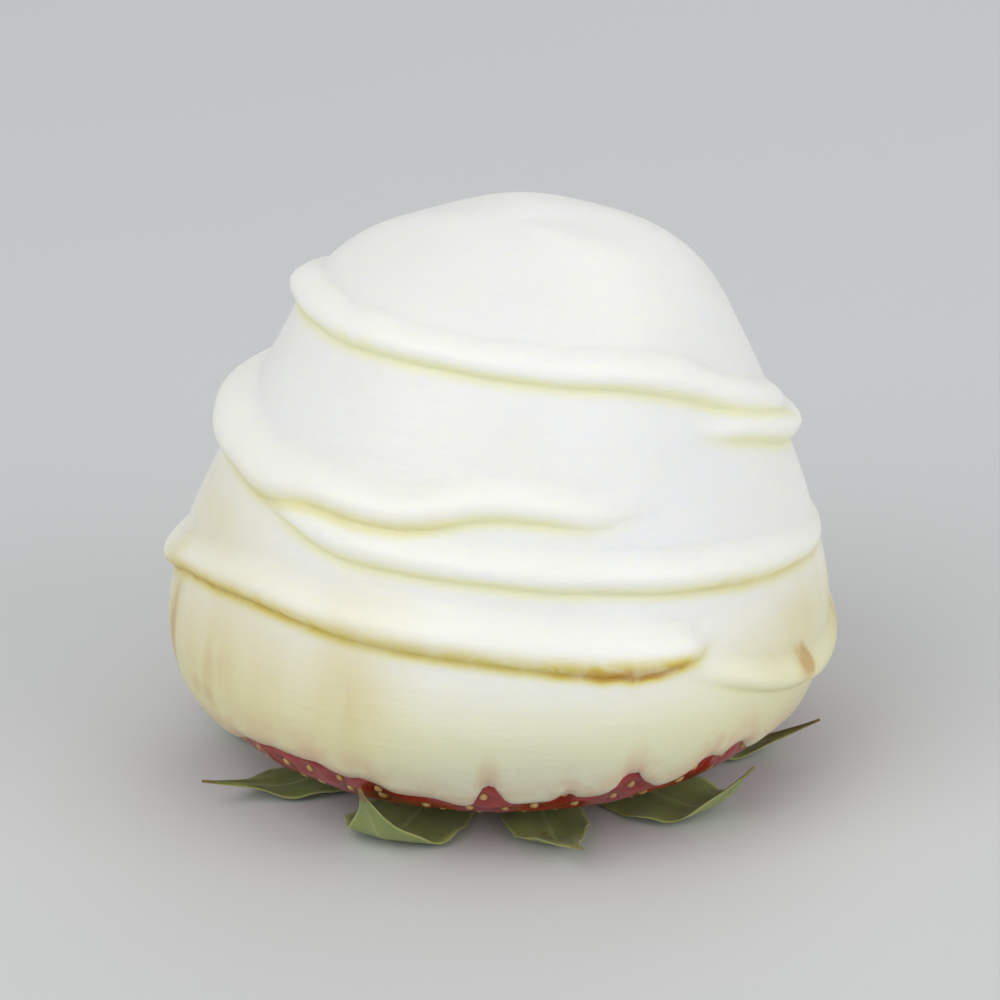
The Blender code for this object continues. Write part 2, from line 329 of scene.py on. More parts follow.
def bezier(start, start_handle, end_handle, end, count=120):
    """Points of one cubic Bezier curve."""
    t = np.linspace(0.0, 1.0, count)[:, None]
    points = np.array([start, start_handle, end_handle, end], float)
    weights = ((1 - t) ** 3, 3 * (1 - t) ** 2 * t, 3 * (1 - t) * t * t, t ** 3)
    return sum(weight * point for weight, point in zip(weights, points))


def outline():
    """Coat's outline from the tip to the foot: arc length, points and outward normals."""
    slope = np.array([math.sin(DOME_SLOPE), -math.cos(DOME_SLOPE)])
    dome = np.array([DOME_RADIUS, DOME_LEVEL])
    tip = np.array([0.0, HEIGHT])
    widest = np.array([RADIUS, WIDEST_LEVEL])
    foot = np.array([FOOT_RADIUS, FOOT_LEVEL])
    across = np.array([1.0, 0.0])
    up = np.array([0.0, 1.0])
    points = np.concatenate([
        bezier(tip, tip + across * TIP_HANDLE, dome - slope * DOME_HANDLE, dome),
        bezier(dome, dome + slope * DOME_HANDLE, widest + up * WIDEST_HANDLE_UP, widest)[1:],
        bezier(widest, widest - up * WIDEST_HANDLE_DOWN, foot + across * FOOT_HANDLE, foot)[1:],
    ])
    arc = np.concatenate([[0.0], np.cumsum(np.linalg.norm(np.diff(points, axis=0), axis=1))])
    tangent = unit(np.gradient(points, axis=0))
    normals = np.column_stack([-tangent[:, 1], tangent[:, 0]])
    return arc, points, normals


ARC, POINTS, NORMALS = outline()


def lean(level):
    """Sideways shift of the axis, growing towards the tip."""
    return LEAN * np.clip((level - LEAN_FROM) / (HEIGHT - LEAN_FROM), 0.0, 1.0)


def around(radius, azimuth, level):
    """Points at a radius, an azimuth and a level round the upright axis."""
    parts = np.broadcast_arrays(radius * np.sin(azimuth), -radius * np.cos(azimuth), level)
    return np.stack(parts, axis=-1)


def skin(arc, azimuth, out=0.0, down=0.0):
    """Point of the smooth body, moved out along its normal and down along its outline."""
    normal_out = np.interp(arc, ARC, NORMALS[:, 0])
    normal_up = np.interp(arc, ARC, NORMALS[:, 1])
    radius = np.interp(arc, ARC, POINTS[:, 0]) + out * normal_out + down * normal_up
    level = np.interp(arc, ARC, POINTS[:, 1]) + out * normal_up - down * normal_out
    point = around(radius, azimuth, level)
    point[..., 0] += lean(level)
    return point


def lumps(arc, azimuth):
    """Hand-dipped unevenness of the coat, fading out at the tip and the rim."""
    total = np.zeros(np.broadcast(arc, azimuth).shape)
    for turns, along, phase, size in LUMPS:
        total += size * np.sin(turns * azimuth + phase) * np.cos(along * arc + phase)
    fade = np.clip(arc / SMOOTH_TIP, 0.0, 1.0) * np.clip((RIM_ARC - arc) / SMOOTH_RIM, 0.0, 1.0)
    return total * fade


def flesh(arc):
    """Offset of the fruit's own skin: the coat thins towards its rim."""
    covered = smooth((RIM_ARC + 1.0 - arc) / RIM_TAPER)
    foot = smooth((arc - RIM_ARC - 1.0) / (ARC[-1] - RIM_ARC))
    return -(RIM_WALL + (WALL - RIM_WALL) * covered + (FOOT_WALL - RIM_WALL) * foot)


# ---------------------------------------------------------------- drizzled strands

def smooth_route(points):
    """Smooth curve through a strand's points, read at even steps of azimuth."""
    table = np.array(points, float)
    azimuth = table[:, 0]
    slopes = np.gradient(table[:, 1:], azimuth, axis=0)
    steps = np.arange(azimuth[0], azimuth[-1] + ROUTE_STEP, ROUTE_STEP)
    span = np.clip(np.searchsorted(azimuth, steps, side="right") - 1, 0, len(azimuth) - 2)
    length = (azimuth[span + 1] - azimuth[span])[:, None]
    t = np.clip((steps - azimuth[span])[:, None] / length, 0.0, 1.0)
    start, end = table[span, 1:], table[span + 1, 1:]
    values = (
        start * (2 * t ** 3 - 3 * t ** 2 + 1)
        + end * (3 * t ** 2 - 2 * t ** 3)
        + length * slopes[span] * (t ** 3 - 2 * t ** 2 + t)
        + length * slopes[span + 1] * (t ** 3 - t ** 2)
    )
    return steps, values


def wave(degrees):
    """Slow hand-made wobble along a strand, between about -1 and 1."""
    total = np.zeros_like(degrees)
    for turns, size in WAVINESS:
        phase = random.uniform(0, math.tau)
        total += size * np.sin(np.radians(degrees) * turns * THIRDS + phase)
    return total


def strand_samples(name):
    """Crest points of one strand with its size, its downhill direction and its golden painted shade.
    """
    degrees, values = smooth_route(STRANDS[name])
    level, half_width, proud = values.T
    level = level + LEVEL_WAVE * wave(degrees)
    half_width = half_width * (1.0 + WIDTH_WAVE * wave(degrees))
    start, end = STRAND_FADES[name]
    ends = smooth((degrees - degrees[0]) / start) * smooth((degrees[-1] - degrees) / end)
    proud = proud * (1.0 + PROUD_WAVE * wave(degrees)) * (LEAST_PROUD + (1.0 - LEAST_PROUD) * ends)
    azimuth = np.radians(degrees)
    arc = np.interp(-level, -POINTS[:, 1], ARC)
    crest = skin(arc, azimuth)
    downhill = unit(skin(arc + 0.5, azimuth) - skin(arc - 0.5, azimuth))
    drips = np.zeros_like(degrees)
    gold_shade = np.zeros_like(degrees)
    # Golden painted shade under this strand
    for first, rise, last, fall, strength in GOLD_SHADES.get(name, ()):
        gold_shade += strength * smooth((degrees - first) / rise) * smooth((last - degrees) / fall)
    if name == DRIPPING_STRAND:
        run = smooth((degrees - DRIPS_FROM) / DRIPS_RISE)
        drips = run * sum(np.sin(degrees * turn + turn) for turn in DRIP_WAVES) / 1.5
    return crest, downhill, half_width, proud, drips, gold_shade


def nearest_crest(crest, flat):
    """Which body points are level with a strand, and each one's nearest point of its crest."""
    tree = KDTree(len(crest))
    for number, point in enumerate(crest):
        tree.insert(point, number)
    tree.balance()
    low, high = crest[:, 2].min() - NEARBY, crest[:, 2].max() + NEARBY
    near = np.flatnonzero((flat[:, 2] > low) & (flat[:, 2] < high))
    return near, [tree.find(point)[1] for point in flat[near]]


def lay_strands(points):
    """Strands at points of the smooth body: how far out, how far down, painted crease shade and
    golden painted shade.

    A strand is steep on its lower side, where it has sagged over, and runs out softly
    above. Strands that touch are fused. Each is laid in two halves, so that its end lies
    over its start.
    """
    flat = points.reshape(-1, 3)
    height, shift, crease_shade, gold_shade = np.zeros((4, len(flat)))
    for name in STRANDS:
        samples = strand_samples(name)
        own_height, own_shift = np.zeros((2, len(flat)))
        middle = len(samples[0]) // 2
        for half in (slice(None, middle + 1), slice(middle, None)):
            crest, downhill, half_width, proud, drips, gold_shaded = (
                values[half] for values in samples)
            near, found = nearest_crest(crest, flat)
            away = flat[near] - crest[found]
            distance = np.linalg.norm(away, axis=1) + 1e-6
            below = np.clip((away * downhill[found]).sum(axis=1) / distance, -1.0, 1.0)
            lower = np.clip(below, 0.0, 1.0)
            reach = half_width[found] * (REACH_LEVEL - REACH_CHANGE * below)
            reach = reach * (1.0 + DRIP_SIZE * drips[found] * lower)
            part = distance / reach
            power = 1.0 - np.where(below > 0.0, ROUND_BELOW, SOFT_ABOVE) * below
            bump = proud[found] * np.clip(1.0 - part ** 2, 0.0, 1.0) ** power
            sag = OVERHANG * bump * lower * np.clip(part, 0.0, 1.0)
            higher = bump > own_height[near]
            own_height[near] = np.where(higher, bump, own_height[near])
            own_shift[near] = np.where(higher, sag, own_shift[near])
            # Painted shade: a pale yellow line on the strand's lower side and just below it, in the
            # crease
            under = smooth((part - CREASE_FROM) / CREASE_RISE) * smooth(below * LOWER_SIDE)
            under = under * np.clip(proud[found], 0.0, 1.0)
            beyond = np.clip(distance - reach - CREASE_BELOW, 0.0, None)
            line = under * np.exp(-(beyond / CREASE_FADE) ** 2)
            crease_shade[near] = np.maximum(crease_shade[near], line)
            # Golden painted shade on the strand's lower flank and just below it
            flank = smooth((part * below - GOLD_SHADE_FROM) / GOLD_SHADE_RISE)
            beyond = np.clip(distance - reach - GOLD_SHADE_BELOW, 0.0, None)
            line = flank * np.exp(-(beyond / GOLD_SHADE_FADE) ** 2) * gold_shaded[found]
            gold_shade[near] = np.maximum(gold_shade[near], line)
        height += own_height ** 4
        shift += own_height ** 4 * own_shift
    shift = shift / np.maximum(height, 1e-9)
    shape = points.shape[:-1]
    return [value.reshape(shape) for value in (height ** 0.25, shift, crease_shade, gold_shade)]


# ---------------------------------------------------------------- meshes

def closed_mesh(name, rows, attributes=None):
    """Closed piece from rows of points; the first and last row shrink to a pole."""
    count, columns = rows.shape[:2]
    ring_points = rows[1:-1].reshape(-1, 3)
    verts = np.concatenate([rows[0, :1], ring_points, rows[-1, :1]]) * MM
    index = 1 + np.arange((count - 2) * columns).reshape(count - 2, columns)
    after = np.roll(index, -1, axis=1)
    quads = np.stack([index[:-1], index[1:], after[1:], after[:-1]], axis=-1).reshape(-1, 4)
    last = len(verts) - 1
    top = [(0, int(a), int(b)) for a, b in zip(index[0], after[0])]
    bottom = [(int(a), last, int(b)) for a, b in zip(index[-1], after[-1])]
    mesh = bpy.data.meshes.new(name)
    mesh.from_pydata(verts.tolist(), [], top + quads.tolist() + bottom)
    for key, values in (attributes or {}).items():
        flat = np.concatenate([values[0, :1], values[1:-1].ravel(), values[-1, :1]])
        mesh.attributes.new(key, "FLOAT", "POINT").data.foreach_set("value", flat)
    return mesh


def add_piece(name, mesh, material):
    """Object for a mesh, smooth, riding on the berry, with its material."""
    mesh.materials.append(material)
    mesh.shade_smooth()
    piece = bpy.data.objects.new(name, mesh)
    bpy.context.scene.collection.objects.link(piece)
    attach(piece, "root")
    return piece


def even_azimuths(columns):
    return np.arange(columns) * math.tau / columns


# ---------------------------------------------------------------- coat

def rim_arcs(azimuth):
    """Arc length at which the coat ends: waves, scallops and small pockets."""
    arc = RIM_ARC + sum(size * np.sin(n * azimuth + phase) for n, phase, size in RIM_WAVES)
    arc = arc + sum(size * np.sin(n * azimuth + phase) for n, phase, size in RIM_SCALLOPS)
    for _ in range(RIM_POCKETS):
        middle = random.uniform(0, math.tau)
        width = random.uniform(*POCKET_WIDTHS)
        depth = random.uniform(*POCKET_DEPTHS)
        aside = (azimuth - middle + math.pi) % math.tau - math.pi
        arc = arc - depth * np.exp(-np.abs(aside / width) ** 3)
    return np.maximum(arc, RIM_LEAST + 0.15 * np.sin(17 * azimuth))


def even_profiles(points, values, count):
    """Each column read again at even steps along its own surface."""
    step = np.linalg.norm(np.diff(points, axis=0), axis=-1)
    length = np.concatenate([np.zeros((1, points.shape[1])), np.cumsum(step, axis=0)])
    rows = np.empty((count, points.shape[1], 3))
    read = [np.empty((count, points.shape[1])) for _ in values]
    for column in range(points.shape[1]):
        along = length[:, column]
        wanted = np.linspace(0.0, along[-1], count)
        for axis in range(3):
            rows[:, column, axis] = np.interp(wanted, along, points[:, column, axis])
        for target, value in zip(read, values):
            target[:, column] = np.interp(wanted, along, value[:, column])
    return rows, read


def thin_and_shaded_places(arc, azimuth):
    """How thin the coat is over the berry, together with painted shade, from 0 to a little over 1,
    at its thin places.
    """
    level = np.interp(arc, ARC, POINTS[:, 1])
    thin_and_shade = np.zeros(np.broadcast(arc, azimuth).shape)
    for middle, height, wide, tall, strength in THIN_AND_SHADED_PLACES:
        aside = (np.degrees(azimuth) - middle + 180.0) % 360.0 - 180.0
        away = (aside / wide) ** 2 + ((level - height) / tall) ** 2
        thin_and_shade = np.maximum(thin_and_shade, strength * np.exp(-away))
    return thin_and_shade


def make_coat():
    """White chocolate: outer surface with its strands, rounded rim and the inside."""
    azimuth = even_azimuths(COLUMNS)
    arcs = np.linspace(0.0, MAIN_ARC, PROFILE_STEPS)[:, None] * np.ones(COLUMNS)
    # Relief of the strands, with painted shade in their creases and golden painted shade under some
    height, shift, crease_shade, gold_shade = lay_strands(skin(arcs, azimuth))
    out = height + lumps(arcs, azimuth)
    points = skin(arcs, azimuth, out, shift)
    points[0] = skin(0.0, 0.0)
    rim = rim_arcs(azimuth)
    # Thin places of the coat, with painted shade there as well
    thin_and_shade = thin_and_shaded_places(arcs, azimuth)
    outer, read = even_profiles(points, (crease_shade, gold_shade, thin_and_shade, arcs), MAIN_RINGS)
    crease_shade, gold_shade, thin_and_shade, arcs = read

    steps = np.linspace(0.0, 1.0, BAND_RINGS + 1)[1:, None]
    band = MAIN_ARC + steps * (rim - MAIN_ARC)
    sink = RIM_SINK * np.clip(1.0 - (rim - band) / RIM_EDGE, 0.0, 1.0) ** 2
    band_out = lumps(band, azimuth) - sink
    band_points = skin(band, azimuth, band_out)

    start_out = band_out[-1]
    end_out = flesh(rim) + BOND
    turn = np.linspace(0.0, math.pi, EDGE_RINGS + 2)[1:-1, None]
    middle = (start_out + end_out) / 2
    half = (start_out - end_out) / 2
    edge_points = skin(rim + half * np.sin(turn), azimuth, middle + half * np.cos(turn))

    back = rim * np.linspace(1.0, 0.0, INNER_RINGS)[:, None] ** 0.8
    inner = skin(back, azimuth, flesh(back) + BOND)
    inner[-1] = skin(0.0, 0.0, flesh(0.0) + BOND)

    rows = np.concatenate([outer, band_points, edge_points, inner])
    rest = len(rows) - MAIN_RINGS
    empty = np.zeros((rest, COLUMNS))
    later_arcs = np.concatenate([band, rim + 0.0 * turn, back])
    attributes = {
        "crease_shade": np.concatenate([crease_shade, empty]),
        "gold_shade": np.concatenate([gold_shade, empty]),
        "thin_and_shade": np.concatenate([thin_and_shade, thin_and_shaded_places(later_arcs, azimuth)]),
        "from_rim": rim - np.concatenate([arcs, later_arcs]),
    }
    mesh = closed_mesh("coat_skin", rows, attributes)
    coat = add_piece("coat_skin", mesh, white_chocolate())
    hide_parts("coat")


# ---------------------------------------------------------------- fruit

def seed_places():
    """Arc lengths and azimuths of the seeds on the part of the fruit that can be seen."""
    places = []
    row = 0
    arc = SEED_FROM
    while arc < SEED_TO:
        radius = np.interp(arc, ARC, POINTS[:, 0])
        count = max(8, round(math.tau * radius / SEED_PITCH))
        for number in range(count):
            azimuth = math.tau * (number + 0.5 * (row % 2)) / count
            jitter = random.uniform(-SEED_JITTER, SEED_JITTER, 2)
            places.append((arc + jitter[0] * SEED_PITCH, azimuth + jitter[1] * SEED_PITCH / radius))
        arc += SEED_PITCH * SEED_ROW_PITCH
        row += 1
    return np.array(places)


def make_fruit(places):
    """Strawberry: smooth under the coat, dimpled round its seeds below the rim."""
    azimuth = even_azimuths(FRUIT_COLUMNS)
    hidden = np.linspace(0.0, SEEN_FROM, HIDDEN_ROWS)
    seen = np.linspace(SEEN_FROM, ARC[-1], SEEN_ROWS)
    arcs = np.concatenate([hidden, seen[1:]])[:, None]
    gap = HIDDEN_GAP * smooth((HIDDEN_TO - arcs) / HIDDEN_FADE)
    out = flesh(arcs) - gap * np.ones(FRUIT_COLUMNS)
    base = skin(arcs, azimuth, out)
    tree = KDTree(len(places))
    for number, (arc, turn) in enumerate(places):
        tree.insert(skin(arc, turn, flesh(arc)), number)
    tree.balance()
    low = arcs[:, 0] > SEED_FROM - 2.0
    distance = np.array([tree.find(point)[2] for point in base[low].reshape(-1, 3)])
    dimple = np.exp(-(distance / DIMPLE_RADIUS) ** 2).reshape(-1, FRUIT_COLUMNS)
    out[low] -= DIMPLE_DEPTH * dimple
    ribs = RIB_DEPTH * np.sin(RIBS * azimuth + 1.0) * smooth((arcs - PALE_FROM) / 6.0)
    body = skin(arcs, azimuth, out - np.abs(ribs))
    body[0] = skin(0.0, 0.0, flesh(0.0) - HIDDEN_GAP)

    inward = np.linspace(1.0, 0.0, HOLLOW_ROWS)[1:, None]
    radius = FOOT_RADIUS * inward * np.ones(FRUIT_COLUMNS)
    rise = HOLLOW_DEPTH * np.clip(1.0 - (radius / HOLLOW_RADIUS) ** 2, 0.0, 1.0)
    hollow = around(radius, azimuth, FOOT_BOTTOM + rise)
    rows = np.concatenate([body, hollow])
    pale = np.zeros(rows.shape[:2])
    pale[:len(body)] = smooth((arcs - PALE_FROM) / 8.0)
    pale[len(body):] = 1.0
    dimpled = np.zeros(rows.shape[:2])
    dimpled[:len(body)][low] = dimple
    mesh = closed_mesh("fruit_flesh", rows, {"pale": pale, "dimple": dimpled})
    fruit = add_piece("fruit_flesh", mesh, strawberry_skin())
    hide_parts("fruit")


def make_seeds(places):
    """Seeds sunk in the fruit's dimples, pointed towards the berry's tip."""
    segments, rings = 10, 7
    verts, faces = [], []
    turn = even_azimuths(segments)
    for arc, azimuth in places:
        centre = skin(arc, azimuth, flesh(arc) - DIMPLE_DEPTH + SEED_LIFT)
        along = unit(skin(arc - 0.5, azimuth) - skin(arc + 0.5, azimuth))
        normal = unit(skin(arc, azimuth, 1.0) - skin(arc, azimuth))
        aside = np.cross(along, normal)
        size = random.uniform(0.85, 1.1)
        rows = []
        for t in np.linspace(-1.0, 1.0, rings):
            girth = math.sqrt(max(0.0, 1.0 - t * t)) * (1.0 - 0.25 * t)
            ring = (
                centre + along * t * SEED_LENGTH / 2 * size
                + np.cos(turn)[:, None] * aside * SEED_WIDTH / 2 * size * girth
                + np.sin(turn)[:, None] * normal * SEED_HEIGHT / 2 * size * girth
            )
            rows.append(ring)
        rows = np.array(rows)
        start = len(verts)
        verts += [rows[0, 0], *rows[1:-1].reshape(-1, 3), rows[-1, 0]]
        last = start + 1 + (rings - 2) * segments
        for side in range(segments):
            beside = (side + 1) % segments
            first = start + 1
            faces.append((start, first + beside, first + side))
            for ring in range(rings - 3):
                near = first + ring * segments
                far = near + segments
                faces.append((near + side, near + beside, far + beside, far + side))
            final = first + (rings - 3) * segments
            faces.append((final + side, final + beside, last))
    mesh = bpy.data.meshes.new("seeds")
    mesh.from_pydata((np.array(verts) * MM).tolist(), [], faces)
    add_piece("seeds", mesh, seed_husk())


# ---------------------------------------------------------------- calyx

def leaf_point(run, aside, height, bend):
    """Point of a leaf along +X that lies flat, then curls up on an arc and goes on straight."""
    past = np.clip(run - BEND_FROM, 0.0, None)
    angle = np.minimum(past / BEND_RADIUS, bend)
    straight = past - angle * BEND_RADIUS
    along = np.minimum(run, BEND_FROM) + BEND_RADIUS * np.sin(angle) + straight * np.cos(angle)
    level = BEND_RADIUS * (1 - np.cos(angle)) + straight * np.sin(angle)
    return np.stack([along - height * np.sin(angle), aside, level + height * np.cos(angle)], axis=-1)


def sepal_points(reach, bend, width, layer):
    """Upper and lower faces of one sepal, with its veins, ripples and curled edges."""
    u = np.linspace(0.0, 1.0, SEPAL_ROWS)[:, None]
    v = np.linspace(-1.0, 1.0, SEPAL_COLUMNS + 1)
    run = SEPAL_START + u * (reach - SEPAL_START)
    bell = 0.40 + 0.60 * smooth(u / 0.62)
    point = np.clip(1.0 - smooth((u - 0.58) / 0.42) ** 0.9, 0.0, 1.0)
    half = width * bell * (0.03 + 0.97 * point)
    saw = SAW * random.normal(size=(SEPAL_ROWS, 1)) * smooth((u - 0.3) * 3.0) * point
    half = half + saw * 0.5
    phase = random.uniform(0, math.tau, 3)
    free = smooth((run - SEPAL_FREE_FROM) / 8.0)
    ripple = np.sin(run * 1.1 + phase[0] + 1.3 * np.sign(v))
    ripple = free * point * RIPPLE * np.abs(v) ** 2 * ripple
    cup = free * point * random.uniform(0.4, 0.9) * v ** 2
    swing = free * random.uniform(-0.8, 0.8) * (u - 0.5) ** 2 * 4.0
    keel = KEEL_HEIGHT * np.exp(-(v * half / KEEL_WIDTH) ** 2)
    side_veins = SIDE_VEIN_HEIGHT * np.cos(v * math.pi * 3.5) * smooth((1.0 - np.abs(v)) * 4.0)
    thickness = SEPAL_EDGE + (SEPAL_THICKNESS - SEPAL_EDGE) * (1.0 - v ** 4) * (1.0 - 0.6 * u ** 3)
    aside = v * half + swing
    raised = layer * (1.0 - 0.6 * free) + ripple + cup
    top = leaf_point(run, aside, raised + thickness - 0.5 * keel + side_veins, bend)
    under = leaf_point(run, aside, raised - 0.3 * keel * free, bend)
    return top, under, u + 0.0 * v, v + 0.0 * u


def make_sepals():
    """Ten pointed sepals, broad and slim by turns, laid over each other at the stem."""
    verts, faces, along, across, tone = [], [], [], [], []
    rows, columns = SEPAL_ROWS, SEPAL_COLUMNS + 1
    grid = np.arange(rows * columns).reshape(rows, columns)
    for number, (reach, curl) in enumerate(SEPALS):
        broad = number % 2 == 1
        width = BROAD_SEPAL if broad else SLIM_SEPAL
        layer = BROAD_LAYER if broad else SLIM_LAYER
        top, under, u, v = sepal_points(reach, math.radians(curl), width, layer)
        turn = FIRST_SEPAL + number * math.tau / len(SEPALS) - math.pi / 2
        rotation = np.array(Matrix.Rotation(turn, 3, "Z"))
        start = len(verts)
        both = np.concatenate([top.reshape(-1, 3), under.reshape(-1, 3)])
        verts += list(both @ rotation.T)
        along += [*u.ravel(), *u.ravel()]
        across += [*v.ravel(), *v.ravel()]
        tone += [random.uniform()] * (2 * rows * columns)
        a, b = grid[:-1, :-1], grid[1:, :-1]
        c, d = grid[1:, 1:], grid[:-1, 1:]
        upper = np.stack([a, b, c, d], axis=-1).reshape(-1, 4) + start
        lower = upper[:, ::-1] + rows * columns
        border = [*grid[0, :-1], *grid[:-1, -1], *grid[-1, :0:-1], *grid[:0:-1, 0]]
        border = np.array(border) + start
        following = np.roll(border, -1)
        beneath = rows * columns
        wall = np.stack([border, following, following + beneath, border + beneath], axis=-1)
        faces += upper.tolist() + lower.tolist() + wall.tolist()
    mesh = bpy.data.meshes.new("sepals")
    mesh.from_pydata((np.array(verts) * MM).tolist(), [], faces)
    for key, values in (("along", along), ("across", across), ("tone", tone)):
        mesh.attributes.new(key, "FLOAT", "POINT").data.foreach_set("value", values)
    sepals = add_piece("sepals", mesh, leaf_green())
    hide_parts("calyx")


def make_stem():
    """Stem cut flush: a short ribbed stub with a rough cut face underneath."""
    columns = 72
    azimuth = even_azimuths(columns)
    radius = STEM_RADIUS * (1.0 + 0.04 * np.sin(5 * azimuth + 0.7) + 0.02 * np.sin(11 * azimuth))
    rows = []
    for scale, level in STEM_TOP + STEM_FOOT:
        rough = 0.0 * azimuth
        if 0.0 < scale and level < STEM_CUT_LEVEL:
            rough = STEM_ROUGH * np.sin(7 * azimuth + 9 * scale)
        rows.append(around(radius * scale, azimuth, level + rough))
    stem = closed_mesh("stem", np.array(rows))
    add_piece("stem", stem, stem_cut())


# ---------------------------------------------------------------- materials

class Nodes:
    """Short way to write a material's node tree."""

    def __init__(self, name):
        self.material = bpy.data.materials.new(name)
        self.material.use_nodes = True
        self.tree = self.material.node_tree
        self.shader = self.tree.nodes["Principled BSDF"]

    def set(self, socket, value):
        """Link a socket to another, or give it a plain value."""
        if isinstance(value, bpy.types.NodeSocket):
            self.tree.links.new(value, socket)
        elif isinstance(value, tuple) and len(value) == 3 and socket.type == "RGBA":
            socket.default_value = (*value, 1.0)
        else:
            socket.default_value = value

    def add(self, kind, output=0, inputs=None, **settings):
        node = self.tree.nodes.new(kind)
        for key, value in settings.items():
            setattr(node, key, value)
        for key, value in (inputs or {}).items():
            self.set(node.inputs[key], value)
        return node.outputs[output]

    def attribute(self, name):
        return self.add("ShaderNodeAttribute", "Fac", attribute_name=name)

    def math(self, operation, first, second=0.0, clamp=False):
        return self.add("ShaderNodeMath", 0, {0: first, 1: second},
                        operation=operation, use_clamp=clamp)

    def noise(self, scale, detail=2.0, vector=None, distortion=0.0):
        inputs = {"Scale": scale, "Detail": detail, "Distortion": distortion}
        if vector is None:
            vector = self.add("ShaderNodeTexCoord", "Object")
        inputs["Vector"] = vector
        return self.add("ShaderNodeTexNoise", "Fac", inputs)

    def band(self, value, low, high, start=0.0, end=1.0):
        """Value read as a smooth ramp from start at low to end at high."""
        return self.add("ShaderNodeMapRange", "Result",
                        {"Value": value, "From Min": low, "From Max": high,
                         "To Min": start, "To Max": end}, interpolation_type="SMOOTHSTEP")

    def mix(self, amount, first, second, blend="MIX"):
        return self.add("ShaderNodeMix", 2, {0: amount, 6: first, 7: second},
                        data_type="RGBA", blend_type=blend)

    def stretched(self, x, y, z):
        """Object coordinates scaled by direction, for streaks."""
        place = self.add("ShaderNodeTexCoord", "Object")
        return self.add("ShaderNodeMapping", 0, {"Vector": place, "Scale": (x, y, z)})

    def bump(self, height, distance, strength, normal=None):
        inputs = {"Height": height, "Distance": distance, "Strength": strength}
        if normal is not None:
            inputs["Normal"] = normal
        return self.add("ShaderNodeBump", 0, inputs)

    def finish(self, **values):
        for key, value in values.items():
            self.set(self.shader.inputs[key.replace("_", " ")], value)
        return self.material


def white_chocolate():
    """Ivory and satin, slightly translucent: painted shade makes it yellower in the creases, golden
    under some strands and darker low down; tan where thin, with painted shade there too.
    """
    n = Nodes("white_chocolate")
    cloud = n.noise(130.0, 3.0)
    mottle = n.noise(420.0, 4.0, distortion=0.6)
    level = n.add("ShaderNodeSeparateXYZ", 2, {0: n.add("ShaderNodeTexCoord", "Object")})
    ivory = n.mix(n.band(cloud, 0.35, 0.65), (0.886, 0.894, 0.846), (0.880, 0.884, 0.822))
    # Painted shade: darker and yellower low down, where the lower body lies in shade
    ivory = n.mix(n.band(level, 0.010, 0.019, 1.0, 0.0), ivory, (0.780, 0.785, 0.520))

    # Painted shade: pale yellow along the creases under the strands
    crease_shade = n.attribute("crease_shade")
    crease_shaded = n.mix(n.math("MULTIPLY", crease_shade, 0.8), ivory, (0.87, 0.87, 0.56))

    # Tan shows through where the coat is thin, darkened further by painted shade, in faint streaks
    # that ran down the side
    runs = n.noise(1.0, 3.0, n.stretched(480.0, 480.0, 90.0))
    thin_and_shade = n.math("MULTIPLY", n.attribute("thin_and_shade"), n.band(runs, 0.30, 0.66, 0.82, 1.0))
    tone = n.mix(n.band(thin_and_shade, 0.75, 1.15), (0.71, 0.63, 0.34), (0.57, 0.39, 0.17))
    tan = n.mix(n.math("MULTIPLY", thin_and_shade, 0.92), crease_shaded, tone)

    rim = n.band(n.attribute("from_rim"), 0.0, 4.5, 1.0, 0.0)
    rim = n.math("MULTIPLY", rim, n.band(mottle, 0.30, 0.62, 0.25, 1.0))
    rosy = n.mix(n.math("MULTIPLY", rim, 0.7), tan, (0.66, 0.36, 0.24))

    # Painted shade: golden under some strands, deepest in their creases, mottled
    gold_shaded = n.attribute("gold_shade")
    gold_shade = n.math("MULTIPLY", n.math("MULTIPLY", gold_shaded, 1.7, clamp=True),
                   n.band(mottle, 0.30, 0.60, 0.55, 1.0))
    gold = n.mix(n.band(gold_shaded, 0.5, 0.95), (0.72, 0.60, 0.13), (0.58, 0.34, 0.045))
    base = n.mix(gold_shade, rosy, gold)

    grain = n.noise(3200.0, 3.0)
    streaks = n.noise(1.0, 3.0, n.stretched(160.0, 160.0, 900.0))
    pits = n.add("ShaderNodeTexVoronoi", "Distance",
                 {"Vector": n.add("ShaderNodeTexCoord", "Object"), "Scale": 240.0})
    pit = n.band(pits, 0.05, 0.12, 0.0, 1.0)
    bump = n.bump(streaks, 0.00025, 0.45)
    bump = n.bump(grain, 0.00004, 0.35, bump)
    bump = n.bump(pit, 0.00012, 0.25, bump)
    return n.finish(
        Base_Color=base,
        Roughness=n.band(mottle, 0.2, 0.8, 0.36, 0.50),
        IOR=1.46,
        Subsurface_Weight=0.8,
        Subsurface_Radius=(1.0, 0.95, 0.5),
        Subsurface_Scale=0.0028,
        Normal=bump,
    )


